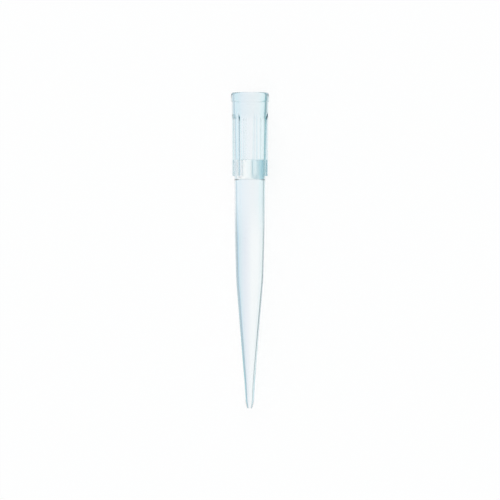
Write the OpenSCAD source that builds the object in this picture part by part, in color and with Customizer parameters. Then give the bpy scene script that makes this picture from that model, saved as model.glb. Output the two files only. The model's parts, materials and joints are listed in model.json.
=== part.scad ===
// Filter pipette tip, 1000 microlitre size, lying on its side.
// A tapered tube with a ribbed collar, moulded in one piece, holds a porous plug above its sample space.
// Sizes are in millimetres. The tip is drawn upright on the Z axis with its mouth up and its rim at z = 0,
// and every depth is measured down the axis from the rim. lie_down() then lays it on a level surface.

/* [Tube] */
// Length of the tip from rim to nozzle
tip_h = 78; // [74:0.1:100]
// Thickness of the tube's wall
wall = 0.5; // [0.35:0.05:0.6]

/* [Socket] */
// Diameter of the band inside that seals on the pipette's cone
socket_d = 7.2; // [6.6:0.05:8.7]
// Depth of the sealing band's upper edge
socket_depth = 6; // [3:0.1:7]
// Height of the sealing band
socket_h = 2.5; // [1:0.1:4]
// How much the mouth is wider than the sealing band, all round
mouth_flare = 0.35; // [0.2:0.05:0.5]

/* [Collar] */
// Thickness of the collar band over the tube
collar_t = 0.42; // [0.3:0.02:0.8]
// Depth of the collar band's lower edge
collar_depth = 5; // [3.5:0.1:6]
// Height of the cone that runs from the collar band down to the tube
collar_runout = 1.5; // [0.5:0.1:3]

/* [Rim] */
// Height of the rim
rim_h = 2.3; // [1:0.1:3]
// How far the rim stands out from the collar band
rim_step = 0.18; // [0.05:0.01:0.6]
// Rounding of the rim's upper outer edge
lip_r = 0.55; // [0.1:0.05:0.6]

/* [Ribs] */
// Number of ribs round the collar
rib_count = 6; // [5:1:12]
// Depth of the ribs' lower ends
rib_depth = 20.6; // [12:0.1:24]
// How far a rib stands out from the tube at its lower end
rib_foot_t = 0.62; // [0.3:0.02:1]
// Width of a rib's crest at its lower end
rib_w = 0.55; // [0.3:0.05:0.8]
// Slope of a rib's sides from its middle plane, in degrees
rib_slope = 33; // [5:1:50]

/* [Filter] */
// Depth of the filter's upper face
filter_depth = 16.6; // [12:0.1:20]
// Diameter of the filter's upper face
filter_d = 6.86; // [6.2:0.02:8.1]
// Length of the filter
filter_h = 4.9; // [3:0.1:8]
// Gap between the filter's side and its seat
filter_gap = 0.01; // [0:0.01:0.05]
// Width of the ledge that the filter stands on
filter_ledge = 0.08; // [0.04:0.02:0.16]

/* [Barrel and cone] */
// Outer diameter at the middle of the barrel
belly_d = 7.38; // [7:0.02:7.6]
// Depth of the middle of the barrel
belly_depth = 31.7; // [28:0.1:36]
// Outer diameter at the shoulder, where the cone begins
shoulder_d = 6.76; // [6:0.02:7]
// Depth of the shoulder
shoulder_depth = 46; // [40:0.1:52]
// Length over which the shoulder is rounded, on each side of it
shoulder_round = 2.3; // [0.5:0.1:3.5]
// Outer diameter where the cone turns into the spout
spout_d = 2.66; // [2.5:0.02:3.6]
// Length of the spout with its nozzle
spout_h = 6.8; // [4:0.1:12]

/* [Nozzle] */
// Outer diameter where the nozzle's bevel begins
nozzle_d = 2.18; // [1.8:0.02:2.4]
// Length of the nozzle's bevel
nozzle_h = 1.9; // [1:0.1:3]
// Outer diameter of the nozzle's end
end_d = 1.2; // [1:0.05:1.6]
// Diameter of the outlet
outlet_d = 0.6; // [0.4:0.05:0.8]

/* [Hidden] */

$fn = 96;
arc_steps = 6;
mouth_bevel = 0.15;
mouth_bevel_h = 1.25;
socket_r = socket_d / 2;
mouth_r = socket_r + mouth_flare;
neck_r = socket_r + wall;
neck_depth = collar_depth + collar_runout;
collar_r = neck_r + collar_t;
rim_r = collar_r + rim_step;
rib_pitch = 360 / rib_count;
seat_r = filter_d / 2 + filter_gap;
seat_foot_depth = filter_depth + filter_h;
spout_depth = tip_h - spout_h;
nozzle_depth = tip_h - nozzle_h;

// An outline is a list of [radius, depth] points, from the mouth to the nozzle.
function mix(a, b, u) = a + (b - a) * u;
function point_at(from, to, depth) = mix(from, to, (depth - from[1]) / (to[1] - from[1]));
function radius_at(outline, depth) = lookup(depth, [for (p = outline) [p[1], p[0]]]);
function rounded(before, corner, after) =
    let (a = point_at(before, corner, corner[1] - shoulder_round))
    let (b = point_at(corner, after, corner[1] + shoulder_round))
    [for (i = [0:arc_steps])
        let (u = i / arc_steps)
        mix(mix(a, corner, u), mix(corner, b, u), u)];

// The tube's outside from the filter down to where the nozzle's bevel begins, set in by the given amount.
function tube_side(inset) =
    let (top = [seat_r - filter_ledge + wall - inset, filter_depth])
    let (belly = [belly_d / 2 - inset, belly_depth])
    let (shoulder = [shoulder_d / 2 - inset, shoulder_depth])
    let (spout = [spout_d / 2 - inset, spout_depth])
    let (nozzle = [nozzle_d / 2 - inset, nozzle_depth])
    concat([top, belly], rounded(belly, shoulder, spout), [spout, nozzle]);

tube = concat([[neck_r, neck_depth]], tube_side(0));

lip = [for (i = [0:arc_steps])
    let (turn = 90 * i / arc_steps)
    [rim_r - lip_r * (1 - sin(turn)), lip_r * (1 - cos(turn))]];

outside = concat(
    lip,
    [[rim_r, rim_h - rim_step], [collar_r, rim_h], [collar_r, collar_depth]],
    tube,
    [[end_d / 2, tip_h]]);

// The filter's seat is cut into the wall, which leaves the ledge at its foot.
tube_bore = tube_side(wall);
ledge_r = radius_at(tube_bore, seat_foot_depth);

bore = concat(
    [[mouth_r, 0], [mouth_r - mouth_bevel, mouth_bevel_h]],
    [[socket_r, socket_depth], [socket_r, socket_depth + socket_h]],
    [[seat_r, filter_depth], [ledge_r + filter_ledge, seat_foot_depth], [ledge_r, seat_foot_depth]],
    [for (p = tube_bore) if (p[1] > seat_foot_depth) p],
    [[outlet_d / 2, tip_h]]);

// Lying down, the tip touches the surface at one point on the mouth's side of its balance and one on the nozzle's
// side: of all such pairs, the one whose line passes furthest out beneath the balance. Two ribs straddle that line.
rib_foot_r = radius_at(tube, rib_depth) + rib_foot_t;
rib_edge = asin(rib_w / 2 / rib_foot_r);
rib_foot = [rib_foot_r * cos(rib_pitch / 2 - rib_edge), rib_depth];
balance = (rib_depth + shoulder_depth) / 2;
above = concat([rib_foot], [for (p = outside) if (p[1] < balance) p]);
below = [for (p = outside) if (p[1] > balance) p];
stances = [for (a = above) for (b = below)
    [point_at(a, b, balance)[0], (a[0] - b[0]) / (b[1] - a[1])]];
reach = max([for (s = stances) s[0]]);
slope = [for (s = stances) if (s[0] == reach) s[1]][0];
tilt = atan(slope);
rim_height = (reach + slope * balance) * cos(tilt);
mouth_end = max([for (p = outside) p[0] * sin(tilt) - p[1] * cos(tilt)]);
nozzle_end = max([for (p = outside) p[0] * sin(tilt) + p[1] * cos(tilt)]);

module lie_down() {
    translate([0, (nozzle_end - mouth_end) / 2, rim_height])
        rotate([tilt - 90, 0, 0])
            children();
}

module turned(outline) {
    rotate_extrude()
        polygon([for (p = outline) [p[0], -p[1]]]);
}

// A ring as deep as the ribs stand, from the middle of the wall out to their crests.
module rib_ring() {
    root = concat(
        [for (p = tube) if (p[1] < rib_depth) p],
        [[radius_at(tube, rib_depth), rib_depth]]);
    turned(concat(
        [[collar_r, rim_h], [collar_r, collar_depth], [rib_foot_r, rib_depth]],
        [for (i = [len(root) - 1:-1:0]) root[i] - [wall / 2, 0]],
        [[neck_r - wall / 2, rim_h]]));
}

// The sides are flat and close in outwards, so a rib's crest is narrower where it stands further out.
module rib_slice() {
    inner = min(rib_foot_r, neck_r) - rib_foot_t - wall;
    outer = max(rib_foot_r, collar_r) + 0.05;
    inner_w = rib_w / 2 + (rib_foot_r - inner) * tan(rib_slope);
    outer_w = max(rib_w / 2 - (outer - rib_foot_r) * tan(rib_slope), 0.05);
    translate([0, 0, -rib_depth])
        linear_extrude(rib_depth)
            polygon([[inner, -inner_w], [outer, -outer_w], [outer, outer_w], [inner, inner_w]]);
}

module ribs() {
    intersection() {
        rib_ring();
        for (i = [0:rib_count - 1])
            rotate([0, 0, 90 + (i + 0.5) * rib_pitch])
                rib_slice();
    }
}

module tip_body() {
    color([0.78, 0.90, 0.95])
        lie_down()
            difference() {
                union() {
                    turned(concat([[0, 0]], outside, [[0, tip_h]]));
                    ribs();
                }
                turned(concat([[0, 0]], bore, [[0, tip_h]]));
            }
}

module filter() {
    color([0.96, 0.97, 0.97])
        lie_down()
            turned([
                [0, filter_depth],
                [seat_r - filter_gap, filter_depth],
                [ledge_r + filter_ledge - filter_gap, seat_foot_depth],
                [0, seat_foot_depth]]);
}

tip_body();
filter();
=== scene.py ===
import json
import math

import bmesh
import bpy
import numpy as np
from mathutils import Matrix, Vector, noise


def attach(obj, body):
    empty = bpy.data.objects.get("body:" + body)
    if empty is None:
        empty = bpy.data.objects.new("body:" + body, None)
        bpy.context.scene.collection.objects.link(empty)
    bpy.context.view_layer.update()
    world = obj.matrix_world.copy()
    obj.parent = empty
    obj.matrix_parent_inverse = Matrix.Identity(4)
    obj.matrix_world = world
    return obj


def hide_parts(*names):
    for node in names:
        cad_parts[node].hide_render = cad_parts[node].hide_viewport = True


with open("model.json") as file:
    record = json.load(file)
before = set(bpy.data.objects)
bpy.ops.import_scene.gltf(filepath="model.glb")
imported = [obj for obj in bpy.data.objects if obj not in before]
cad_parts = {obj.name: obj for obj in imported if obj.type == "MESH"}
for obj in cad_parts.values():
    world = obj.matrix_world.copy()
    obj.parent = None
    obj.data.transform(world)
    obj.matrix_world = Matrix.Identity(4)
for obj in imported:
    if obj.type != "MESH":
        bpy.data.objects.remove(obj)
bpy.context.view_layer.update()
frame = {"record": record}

MM = 0.001

# The tip's sizes in millimetres. A depth is measured down the tip's axis from its rim, and _R is a radius.
TIP_H = 78
WALL = 0.5
MOUTH_FLARE = 0.35
MOUTH_BEVEL = 0.15
MOUTH_BEVEL_H = 1.25
SOCKET_DEPTH = 6
COLLAR_T = 0.42
COLLAR_DEPTH = 5
COLLAR_RUNOUT = 1.5
RIM_H = 2.3
RIM_STEP = 0.18
LIP_R = 0.55
RIB_COUNT = 6
RIB_DEPTH = 20.6
RIB_FOOT_T = 0.62
RIB_W = 0.55
RIB_SLOPE = math.radians(33)
RIB_EDGE_R = 0.06
RIB_ROOT_R = 0.28
RIB_END_R = 0.08
LEAST_RIB = 0.05
FILTER_DEPTH = 16.6
FILTER_D = 6.86
FILTER_H = 4.9
FILTER_GAP = 0.01
FILTER_EDGE_R = 0.12
FILTER_LEDGE = 0.08
LEDGE_SOFT = 0.12
BELLY_D = 7.38
BELLY_DEPTH = 31.7
SHOULDER_D = 6.76
SHOULDER_DEPTH = 46
SPOUT_D = 2.66
SPOUT_H = 6.8
NOZZLE_D = 2.18
NOZZLE_H = 1.9
END_D = 1.2
OUTLET_D = 0.6
# No step along an outline is longer than this.
LONGEST_STEP = 0.8

# Where the tip lies, from the frame's mounts.
MOUNTS = {m["name"]: m for m in frame["record"]["mounts"]}
SOCKET = MOUNTS["socket"]
SOCKET_R = SOCKET["dims"]["r_mm"]
SOCKET_H = SOCKET["dims"]["length_mm"]
AXIS = Vector(SOCKET["axis"]).normalized()
SIDE = Vector((1, 0, 0))
UP = SIDE.cross(AXIS)
SOCKET_MIDDLE = Vector(SOCKET["pos_m"])
TO_RIM_FACE = Vector(MOUNTS["ejector_face"]["pos_m"]) - SOCKET_MIDDLE
RIM_CENTRE = SOCKET_MIDDLE + AXIS * TO_RIM_FACE.dot(AXIS)

MOUTH_R = SOCKET_R + MOUTH_FLARE
NECK_R = SOCKET_R + WALL
NECK_DEPTH = COLLAR_DEPTH + COLLAR_RUNOUT
COLLAR_R = NECK_R + COLLAR_T
RIM_R = COLLAR_R + RIM_STEP
FACE_MIDDLE_R = (MOUTH_R + RIM_R - LIP_R) / 2
END_MIDDLE_R = (END_D + OUTLET_D) / 4
SEAT_R = FILTER_D / 2 + FILTER_GAP
SEAT_FOOT_DEPTH = FILTER_DEPTH + FILTER_H


def tube_side(inset):
    """The tube's side from the filter to the nozzle's bevel, set in: (radius, depth, corner radius)."""
    return [
        (SEAT_R - FILTER_LEDGE + WALL - inset, FILTER_DEPTH, 30),
        (BELLY_D / 2 - inset, BELLY_DEPTH, 300),
        (SHOULDER_D / 2 - inset, SHOULDER_DEPTH, 75),
        (SPOUT_D / 2 - inset, TIP_H - SPOUT_H, 120),
        (NOZZLE_D / 2 - inset, TIP_H - NOZZLE_H, 2),
    ]


def radius_at(outline, depth):
    """An outline's radius at a depth."""
    return np.interp(depth, [p[1] for p in outline], [p[0] for p in outline])


LEDGE_R = float(radius_at(tube_side(WALL), SEAT_FOOT_DEPTH))
RIB_FOOT_R = float(radius_at(tube_side(0), RIB_DEPTH)) + RIB_FOOT_T


def place(radius, depth, turn):
    """World points from arrays of radius, depth and turn round the axis, where turn 0 is upwards."""
    radius, depth, turn = np.broadcast_arrays(radius, depth, turn)
    out = np.cos(turn)[..., None] * np.array(UP) + np.sin(turn)[..., None] * np.array(SIDE)
    return np.array(RIM_CENTRE) + (radius[..., None] * out - depth[..., None] * np.array(AXIS)) * MM


def rounded(corners, arc_steps=5):
    """The outline through (radius, depth, corner radius) corners, with an arc at each but the two ends."""
    points = [np.array(corners[0][:2], float)]
    for before, here, after in zip(corners, corners[1:], corners[2:]):
        corner = np.array(here[:2], float)
        back = np.array(before[:2]) - corner
        on = np.array(after[:2]) - corner
        back_length, on_length = np.linalg.norm(back), np.linalg.norm(on)
        back, on = back / back_length, on / on_length
        spread = math.pi - math.acos(np.clip(back @ on, -1, 1))
        # An arc takes no more than its half of a side, or nearly all of a side that ends the outline.
        back_room, on_room = [length * (0.48 if end[2] else 0.96)
                              for length, end in ((back_length, before), (on_length, after))]
        run = min(here[2] * math.tan(spread / 2), back_room, on_room)
        for u in np.linspace(0, 1, arc_steps + 1):
            # The arc as a rational quadratic, which also holds where the corner hardly turns.
            weight = (1 - u) ** 2 + 2 * u * (1 - u) * math.cos(spread / 2) + u ** 2
            points.append(corner + (back * (1 - u) ** 2 + on * u ** 2) * run / weight)
    points.append(np.array(corners[-1][:2], float))
    return points


def filled_in(points, longest):
    """The same outline, with points added where a step along it is longer than the given length."""
    result = []
    for here, after in zip(points, points[1:]):
        count = max(1, math.ceil(np.linalg.norm(after - here) / longest))
        result += [here + (after - here) * k / count for k in range(count)]
    return result + [points[-1]]


def skin(name, points, closed):
    """A smooth mesh over rows of points round the axis, closed on itself or with a cap at each end."""
    rows, columns = points.shape[:2]
    vertices = points.reshape(-1, 3).tolist()
    faces = []
    for i in range(rows if closed else rows - 1):
        j = (i + 1) % rows
        for k in range(columns):
            m = (k + 1) % columns
            faces.append((i * columns + k, i * columns + m, j * columns + m, j * columns + k))
    if not closed:
        for row in (0, rows - 1):
            centre = len(vertices)
            vertices.append(points[row].mean(0).tolist())
            for k in range(columns):
                faces.append((row * columns + k, row * columns + (k + 1) % columns, centre))
    mesh = bpy.data.meshes.new(name)
    mesh.from_pydata(vertices, [], faces)
    cleaner = bmesh.new()
    cleaner.from_mesh(mesh)
    bmesh.ops.recalc_face_normals(cleaner, faces=cleaner.faces)
    cleaner.to_mesh(mesh)
    cleaner.free()
    mesh.shade_smooth()
    obj = bpy.data.objects.new(name, mesh)
    bpy.context.scene.collection.objects.link(obj)
    return obj


# The steps of a rib's small rounds, and the columns of the tube between a rib and the middle of its gap.
ROUND_STEPS = np.linspace(0, 1, 5)
GAP_COLUMNS = 10
# A rib's end face spans this step in depth, and the outline's other rows keep this far from it.
FOOT_STEP = 0.004
FOOT_ROOM = 0.12


def crest_r(depth):
    """The radius of the line along the ribs' crests."""
    return float(np.interp(depth, [COLLAR_DEPTH, RIB_DEPTH], [COLLAR_R, RIB_FOOT_R]))


def rib_height(depth, radius):
    """How far a rib's crest stands out from the tube's own radius at a depth."""
    full = max(crest_r(depth) - radius, 0)
    below = depth - RIB_DEPTH
    if below <= -RIB_END_R:
        return full
    if below <= 0:
        return full - RIB_END_R + math.sqrt(max(RIB_END_R ** 2 - (below + RIB_END_R) ** 2, 0))
    if below <= RIB_END_R:
        return RIB_END_R - math.sqrt(max(RIB_END_R ** 2 - (RIB_END_R - below) ** 2, 0))
    return 0


def rib_row(depth, radius):
    """The turns of one row's columns, and how much of a rib's height each of them has."""
    crest = crest_r(depth)
    height = max(crest - radius, LEAST_RIB)
    crest_half = RIB_W / 2 - (crest - RIB_FOOT_R) * math.tan(RIB_SLOPE)
    # The rounds shrink with the rib where it runs out into the collar.
    edge = min(RIB_EDGE_R, 0.3 * height)
    root = min(RIB_ROOT_R, 0.6 * height)
    # A round between two flats that meet at an angle runs this far along each of them.
    bend = math.pi / 2 - RIB_SLOPE
    edge_run = edge * math.tan(bend / 2)
    root_run = root * math.tan(bend / 2)
    foot_half = crest_half + height * math.tan(RIB_SLOPE)
    section = [(0, 1), (crest_half / 2, 1)]
    for a in ROUND_STEPS * bend:
        section.append((crest_half - edge_run + edge * math.sin(a), 1 - edge * (1 - math.cos(a)) / height))
    for a in ROUND_STEPS[::-1] * bend:
        section.append((foot_half + root_run - root * math.sin(a), root * (1 - math.cos(a)) / height))
    pitch = 2 * math.pi / RIB_COUNT
    half_turns = [math.asin(s / (radius + height * share)) for s, share in section]
    half_shares = [share for s, share in section]
    gap = np.linspace(half_turns[-1], pitch / 2, GAP_COLUMNS)[1:]
    half_turns += list(gap)
    half_shares += [0] * len(gap)
    # The last column of one half is the first of the next rib's, so it is drawn once.
    turns, shares = [], []
    for i in range(RIB_COUNT):
        middle = (i + 0.5) * pitch
        turns += [middle - a for a in half_turns[:0:-1]] + [middle + a for a in half_turns[:-1]]
        shares += half_shares[:0:-1] + half_shares[:-1]
    return turns, shares


def outer_outline():
    """The outside from the rim's face to the nozzle's end, with extra rows for the ribs' lower ends."""
    outline = filled_in(rounded([
        (FACE_MIDDLE_R, 0, 0),
        (RIM_R, 0, LIP_R),
        (RIM_R, RIM_H - RIM_STEP, 0.08),
        (COLLAR_R, RIM_H, 0.1),
        (COLLAR_R, COLLAR_DEPTH, 0.25),
        (NECK_R, NECK_DEPTH, 1),
        *tube_side(0),
        (END_D / 2, TIP_H, 0.08),
        (END_MIDDLE_R, TIP_H, 0),
    ]), LONGEST_STEP)
    foot_steps = ROUND_STEPS * math.pi / 2
    foot_depths = [RIB_DEPTH - RIB_END_R * (1 - math.sin(a)) for a in foot_steps]
    foot_depths += [RIB_DEPTH + FOOT_STEP + RIB_END_R * (1 - math.cos(a)) for a in foot_steps]
    rows = [p for p in outline if abs(p[1] - RIB_DEPTH) > FOOT_ROOM]
    rows += [np.array((radius_at(outline, d), d)) for d in foot_depths]
    bevel = TIP_H - NOZZLE_H
    middle = sorted((p for p in rows if RIM_H <= p[1] <= bevel), key=lambda p: p[1])
    return [p for p in rows if p[1] < RIM_H] + middle + [p for p in rows if p[1] > bevel]


def bore_outline():
    """The inside from the nozzle's end to the rim's face."""
    return filled_in(rounded([
        (END_MIDDLE_R, TIP_H, 0),
        (OUTLET_D / 2, TIP_H, 0.05),
        *tube_side(WALL)[:0:-1],
        (LEDGE_R, SEAT_FOOT_DEPTH + LEDGE_SOFT, 0.3),
        (LEDGE_R + FILTER_LEDGE, SEAT_FOOT_DEPTH, 0.3),
        (SEAT_R, FILTER_DEPTH, 20),
        (SOCKET_R, SOCKET_DEPTH + SOCKET_H, 20),
        (SOCKET_R, SOCKET_DEPTH, 8),
        (MOUTH_R - MOUTH_BEVEL, MOUTH_BEVEL_H, 0.3),
        (MOUTH_R, 0, 0.1),
        (FACE_MIDDLE_R, 0, 0),
    ]), LONGEST_STEP)


def make_tip():
    """The moulded body: one closed skin over the outside, the nozzle's end, the bore and the mouth."""
    outside = outer_outline()
    outline = np.array(outside + bore_outline()[1:-1])
    # Rows without ribs have the same columns as the ribs' lower ends.
    foot_row = rib_row(RIB_DEPTH, float(radius_at(outside, RIB_DEPTH)))
    turns = np.tile(foot_row[0], (len(outline), 1))
    heights = np.zeros_like(turns)
    for i, (radius, depth) in enumerate(outside):
        if RIM_H < depth < RIB_DEPTH + 2 * RIB_END_R:
            turns[i], shares = rib_row(min(depth, RIB_DEPTH), radius)
            heights[i] = rib_height(depth, radius) * np.array(shares)
    return skin("clear_tip", place(outline[:, :1] + heights, outline[:, 1:], turns), closed=True)


# The filter's beads, fused into a surface of low round grains, in millimetres.
BEAD_D = 0.16
BEAD_RELIEF = 0.02
FILTER_COLUMNS = 360
CAP_R = 0.05


def make_filter():
    """The plug: a short cone with grains standing in from its nominal surface."""
    top_r = SEAT_R - FILTER_GAP
    foot_r = LEDGE_R + FILTER_LEDGE - FILTER_GAP
    outline = np.array(filled_in(rounded([
        (CAP_R, FILTER_DEPTH, 0),
        (top_r, FILTER_DEPTH, FILTER_EDGE_R),
        (foot_r, SEAT_FOOT_DEPTH, FILTER_EDGE_R),
        (CAP_R, SEAT_FOOT_DEPTH, 0),
    ]), BEAD_D / 2))
    turns = np.linspace(0, 2 * math.pi, FILTER_COLUMNS + 1)[:-1]
    points = place(outline[:, :1], outline[:, 1:], turns[None, :])
    middle = RIM_CENTRE - AXIS * (FILTER_DEPTH + FILTER_H / 2) * MM
    inward = np.array(middle) - points
    inward /= np.linalg.norm(inward, axis=2)[..., None]
    for i in range(points.shape[0]):
        for k in range(points.shape[1]):
            distance = noise.voronoi(Vector(points[i, k]) / (BEAD_D * MM))[0][0]
            points[i, k] += inward[i, k] * BEAD_RELIEF * MM * min(1, distance) ** 2
    return skin("filter_plug", points, closed=False)


def linear(colour):
    """An sRGB hex colour as a linear RGBA."""
    channels = [int(colour[i:i + 2], 16) / 255 for i in (1, 3, 5)]
    return (*[c / 12.92 if c <= 0.04045 else ((c + 0.055) / 1.055) ** 2.4 for c in channels], 1)


def node(tree, kind, settings={}, **links):
    """Adds a node: settings are sockets, properties or a ramp's stops; links are inputs, with _ for space."""
    new = tree.nodes.new(kind)
    for name, value in settings.items():
        if name == "stops":
            for i, (position, colour) in enumerate(value):
                stops = new.color_ramp.elements
                stop = stops[i] if i < 2 else stops.new(position)
                stop.position = position
                stop.color = linear(colour)
        elif isinstance(name, str) and hasattr(new, name):
            setattr(new, name, value)
        else:
            new.inputs[name].default_value = value
    for name, source in links.items():
        tree.links.new(source, new.inputs[name.replace("_", " ")])
    return new


def mixed(tree, share, first, second):
    """A colour from the first to the second by a share; each is a colour or another node's output."""
    mix = node(tree, "ShaderNodeMix", {"data_type": "RGBA"}, Factor=share)
    for i, colour in ((6, first), (7, second)):
        if isinstance(colour, tuple):
            mix.inputs[i].default_value = colour
        else:
            tree.links.new(colour, mix.inputs[i])
    return mix.outputs[2]


def material(name):
    """A new material with an empty node tree."""
    made = bpy.data.materials.new(name)
    made.use_nodes = True
    made.node_tree.nodes.clear()
    return made


# The share of red, green and blue light that is left after one millimetre of the plastic.
LEFT_PER_MM = (0.92, 0.955, 0.965)
# The plastic's flow in the mould leaves soft marks this wide and this high, in millimetres.
FLOW_MARK = 3
FLOW_RELIEF = 0.0015


def moulded_polypropylene():
    """Natural polypropylene from a polished mould: clear, with an aqua cast that deepens along a wall."""
    made = material("moulded polypropylene")
    tree = made.node_tree
    metres = node(tree, "ShaderNodeTexCoord")
    flow = node(tree, "ShaderNodeTexNoise", {"Scale": 1 / (FLOW_MARK * MM), "Detail": 3},
                Vector=metres.outputs["Object"])
    ripple = node(tree, "ShaderNodeBump", {"Strength": 0.1, "Distance": FLOW_RELIEF * MM},
                  Height=flow.outputs["Fac"])
    surface = node(tree, "ShaderNodeBsdfPrincipled", {
        "Base Color": (1, 1, 1, 1),
        "Roughness": 0.05,
        "IOR": 1.49,
        "Transmission Weight": 1,
    }, Normal=ripple.outputs["Normal"])
    losses = [-math.log(left) for left in LEFT_PER_MM]
    # The volume takes its density times 1 less its colour, so the density stands above the greatest loss.
    density = 1.25 * max(losses)
    absorption = node(tree, "ShaderNodeVolumeAbsorption", {
        "Color": (*[1 - loss / density for loss in losses], 1),
        "Density": density / MM,
    })
    node(tree, "ShaderNodeOutputMaterial", Surface=surface.outputs[0], Volume=absorption.outputs[0])
    return made


def sintered_polyethylene():
    """White beads fused into a porous plug: dead matt, finely grained, with painted shade in the pores
    between them.
    """
    made = material("sintered polyethylene")
    tree = made.node_tree
    metres = node(tree, "ShaderNodeTexCoord")
    beads = node(tree, "ShaderNodeTexVoronoi", {"Scale": 1 / (BEAD_D * MM)}, Vector=metres.outputs["Object"])
    # Painted shade: the pores between the beads are darker.
    painted_pore_shade = node(tree, "ShaderNodeValToRGB", {"stops": [(0.3, "#fafbfb"), (0.9, "#e9edee")]},
                Fac=beads.outputs["Distance"])
    grain = node(tree, "ShaderNodeBump", {"Strength": 0.4, "Distance": BEAD_RELIEF * MM, "invert": True},
                 Height=beads.outputs["Distance"])
    surface = node(tree, "ShaderNodeBsdfPrincipled", {
        "Roughness": 0.9,
        "IOR": 1.5,
        "Specular IOR Level": 0.2,
    }, Base_Color=painted_pore_shade.outputs["Color"], Normal=grain.outputs["Normal"])
    node(tree, "ShaderNodeOutputMaterial", Surface=surface.outputs[0])
    return made


# The sheet of paper reaches this far from the tip on each side, in metres.
FLOOR_REACH = 1.5
# How much of the paper's white is its own, so that the tip's shadow on it stays faint.
PAPER_GLOW = 0.88
# The tint that the paper lends to the light it throws back on the filter.
PAPER_CAST = "#5fa3b4"
# Painted light and shade on the paper, standing in for the studio as clear plastic shows it, by millimetres
# to the
# right of the tip: first to light that comes straight through, then to light that has turned inside a wall.
# One pair is round the tip's collar and barrel and one round its cone, and they blend between two places
# along Y. Each ramp reaches this far out.
PAINTED_LIGHT_REACH = 40
COLLAR_STRAIGHT_PAINTED_LIGHT = [
    (-12, "#cdf5ff"), (-8, "#cbecf7"), (-4, "#edf5fc"), (0, "#f5f7f9"), (4, "#f0fbfd"), (6, "#e2e8ef"),
    (12, "#ffffff")]
COLLAR_TURNED_PAINTED_LIGHT = [
    (-20, "#ffffff"), (-14, "#c6d9e7"), (-10, "#bfd6df"), (-7, "#f7f8fb"), (-1, "#ffffff"), (4, "#efffff"),
    (6, "#a0b0b8"), (9, "#67adb3"), (20, "#94ffff")]
CONE_STRAIGHT_PAINTED_LIGHT = [(-8, "#b4e4ff"), (-4, "#ddecf3"), (-2, "#eceff6"), (0, "#fefefe")]
CONE_TURNED_PAINTED_LIGHT = [
    (-14, "#c2c4d0"), (-10, "#9db3bb"), (-7, "#c7d6de"), (-4, "#a1c1cd"), (-1, "#a0d5da"), (2, "#f9ffff"),
    (4, "#71878f"), (6, "#f6fffe")]
BLEND_FROM = 12
BLEND_TO = 3
# The lights' strength, and their colours: 0 is level with the tip on its left, 0.5 over it, 1 on its right.
LIGHT = 1.36
LIGHT_CASTS = [
    (0, "#eae9ed"), (0.25, "#dcd5d9"), (0.375, "#faf0e7"), (0.5, "#fffdf3"), (0.625, "#faf8f5"),
    (0.75, "#e7eff2"), (1, "#0092a8")]


def looked_through(tree, path):
    """1 where the eye sees a thing, straight or by a gloss or a clear wall, and 0 where it only lights."""
    seen = path.outputs["Is Camera Ray"]
    for kind in ("Is Glossy Ray", "Is Transmission Ray"):
        either = node(tree, "ShaderNodeMath", {"operation": "MAXIMUM"})
        tree.links.new(seen, either.inputs[0])
        tree.links.new(path.outputs[kind], either.inputs[1])
        seen = either.outputs[0]
    lights = node(tree, "ShaderNodeMath", {"operation": "LESS_THAN", 1: 0.5},
                  Value=path.outputs["Diffuse Depth"])
    both = node(tree, "ShaderNodeMath", {"operation": "MULTIPLY"})
    tree.links.new(seen, both.inputs[0])
    tree.links.new(lights.outputs[0], both.inputs[1])
    return both.outputs[0]


def turned_in_a_wall(tree, path):
    """1 for light that came out of the plastic after a reflection inside it."""
    turned = node(tree, "ShaderNodeMath", {"operation": "GREATER_THAN", 1: 0.5},
                  Value=path.outputs["Glossy Depth"])
    both = node(tree, "ShaderNodeMath", {"operation": "MULTIPLY"})
    tree.links.new(turned.outputs[0], both.inputs[0])
    tree.links.new(path.outputs["Is Transmission Ray"], both.inputs[1])
    return both.outputs[0]


def paper_painted_light(tree, path):
    """White where it is seen straight, and the painted light and shade above where it is seen through the
    plastic.
    """
    metres = node(tree, "ShaderNodeTexCoord")
    spot = node(tree, "ShaderNodeSeparateXYZ", Vector=metres.outputs["Object"])
    across = node(tree, "ShaderNodeMapRange", {"From Min": -PAINTED_LIGHT_REACH * MM, "From Max": PAINTED_LIGHT_REACH * MM},
                  Value=spot.outputs["X"])
    along = node(tree, "ShaderNodeMapRange", {"From Min": BLEND_FROM * MM, "From Max": BLEND_TO * MM},
                 Value=spot.outputs["Y"])
    turned = turned_in_a_wall(tree, path)
    pairs = []
    for pair in ((COLLAR_STRAIGHT_PAINTED_LIGHT, COLLAR_TURNED_PAINTED_LIGHT), (CONE_STRAIGHT_PAINTED_LIGHT, CONE_TURNED_PAINTED_LIGHT)):
        colours = []
        for painted_stops in pair:
            stops = [((x / PAINTED_LIGHT_REACH + 1) / 2, painted_colour) for x, painted_colour in painted_stops]
            # Painted light and shade, by the paper's place across the tip.
            ramp = node(tree, "ShaderNodeValToRGB", {"stops": stops}, Fac=across.outputs[0])
            colours.append(ramp.outputs[0])
        pairs.append(mixed(tree, turned, *colours))
    through = mixed(tree, along.outputs[0], *pairs)
    return mixed(tree, path.outputs["Is Transmission Ray"], linear("#fefefe"), through)


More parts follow.
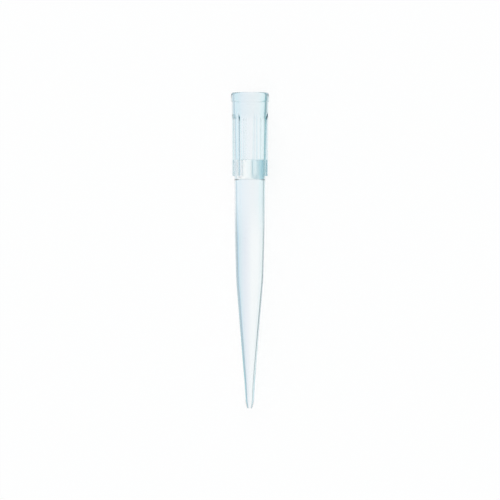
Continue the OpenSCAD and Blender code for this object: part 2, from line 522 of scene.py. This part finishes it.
def make_floor():
    """A wide sheet of matt white paper, which keeps a faint share of the tip's shadow and shows painted light
    and shade through the plastic.
    """
    mesh = bpy.data.meshes.new("floor")
    corners = [(x * FLOOR_REACH, y * FLOOR_REACH, 0) for x, y in ((-1, -1), (1, -1), (1, 1), (-1, 1))]
    mesh.from_pydata(corners, [], [(0, 1, 2, 3)])
    floor = bpy.data.objects.new("floor", mesh)
    bpy.context.scene.collection.objects.link(floor)
    made = material("matt white paper")
    tree = made.node_tree
    path = node(tree, "ShaderNodeLightPath")
    # Seen through the plastic the paper is all glow, painted with light and shade that stand in for the
    # studio's light as the walls bend it.
    glowing = node(tree, "ShaderNodeMath", {"operation": "MULTIPLY_ADD", 1: 1 - PAPER_GLOW, 2: PAPER_GLOW},
                   Value=path.outputs["Is Transmission Ray"])
    looked = looked_through(tree, path)
    share = node(tree, "ShaderNodeMath", {"operation": "MULTIPLY"}, Value=looked)
    tree.links.new(glowing.outputs[0], share.inputs[1])
    white = mixed(tree, looked, linear(PAPER_CAST), linear("#fbfbfb"))
    paper = node(tree, "ShaderNodeBsdfDiffuse", Color=white)
    glow = node(tree, "ShaderNodeEmission", {"Strength": 1}, Color=paper_painted_light(tree, path))
    both = node(tree, "ShaderNodeMixShader", Fac=share.outputs[0])
    tree.links.new(paper.outputs[0], both.inputs[1])
    tree.links.new(glow.outputs[0], both.inputs[2])
    node(tree, "ShaderNodeOutputMaterial", Surface=both.outputs[0])
    mesh.materials.append(made)


def make_world():
    """Long soft lights side by side over the tip and along it, in a room that looks white."""
    world = bpy.data.worlds.new("studio")
    bpy.context.scene.world = world
    world.use_nodes = True
    tree = world.node_tree
    tree.nodes.clear()
    direction = node(tree, "ShaderNodeTexCoord")
    cross = node(tree, "ShaderNodeVectorMath", {"operation": "MULTIPLY", 1: (1, 0, 1)})
    tree.links.new(direction.outputs["Generated"], cross.inputs[0])
    unit = node(tree, "ShaderNodeVectorMath", {"operation": "NORMALIZE"}, Vector=cross.outputs["Vector"])
    lean = node(tree, "ShaderNodeSeparateXYZ", Vector=unit.outputs["Vector"])
    across = node(tree, "ShaderNodeMapRange", {"From Min": -1, "From Max": 1}, Value=lean.outputs["X"])
    sides = node(tree, "ShaderNodeValToRGB", {"stops": LIGHT_CASTS}, Fac=across.outputs[0])
    light = node(tree, "ShaderNodeBackground", {"Strength": LIGHT}, Color=sides.outputs["Color"])
    path = node(tree, "ShaderNodeLightPath")
    shown = node(tree, "ShaderNodeBackground", {"Strength": 1, "Color": linear("#ffffff")})
    both = node(tree, "ShaderNodeMixShader", Fac=looked_through(tree, path))
    tree.links.new(light.outputs[0], both.inputs[1])
    tree.links.new(shown.outputs[0], both.inputs[2])
    node(tree, "ShaderNodeOutputWorld", Surface=both.outputs[0])


# The camera looks square down on the tip's axis, leaning over its right. FRAME_W is the width that it sees
# there, in metres, and its aim is in millimetres.
LEAN = math.radians(11.3)
ROLL = math.radians(-0.08)
LENS = 300
SENSOR = 36
FRAME_W = 0.1236
AIM_DEPTH = 38.9
AIM_SIDE = 0.05


def make_camera():
    """A long lens far above the tip, with the mouth at the top of its frame."""
    back = UP * math.cos(LEAN) + SIDE * math.sin(LEAN)
    aim = RIM_CENTRE - AXIS * AIM_DEPTH * MM + SIDE * AIM_SIDE * MM
    data = bpy.data.cameras.new("camera")
    data.lens = LENS
    data.sensor_width = SENSOR
    data.clip_start = 0.01
    data.clip_end = 20
    camera = bpy.data.objects.new("camera", data)
    bpy.context.scene.collection.objects.link(camera)
    up = AXIS * math.cos(ROLL) + AXIS.cross(back) * math.sin(ROLL)
    turn = Matrix((up.cross(back), up, back)).transposed()
    stand = aim + back * FRAME_W * LENS / SENSOR
    camera.matrix_world = Matrix.Translation(stand) @ turn.to_4x4()
    bpy.context.scene.camera = camera


def finish_piece(obj, node_name, finish):
    """Gives a piece its finish, hangs it under the frame's root and hides the solid of the frame that it
    stands for.
    """
    obj.data.materials.append(finish)
    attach(obj, "root")
    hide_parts(node_name)


make_camera()
finish_piece(make_tip(), "tip_body", moulded_polypropylene())
finish_piece(make_filter(), "filter", sintered_polyethylene())
make_floor()
make_world()
scene = bpy.context.scene
scene.view_settings.view_transform = "Standard"
# Light from the filter has to find its way out through the plastic's walls.
scene.cycles.max_bounces = 24
scene.cycles.glossy_bounces = 16
scene.cycles.transmission_bounces = 24
scene.cycles.blur_glossy = 0
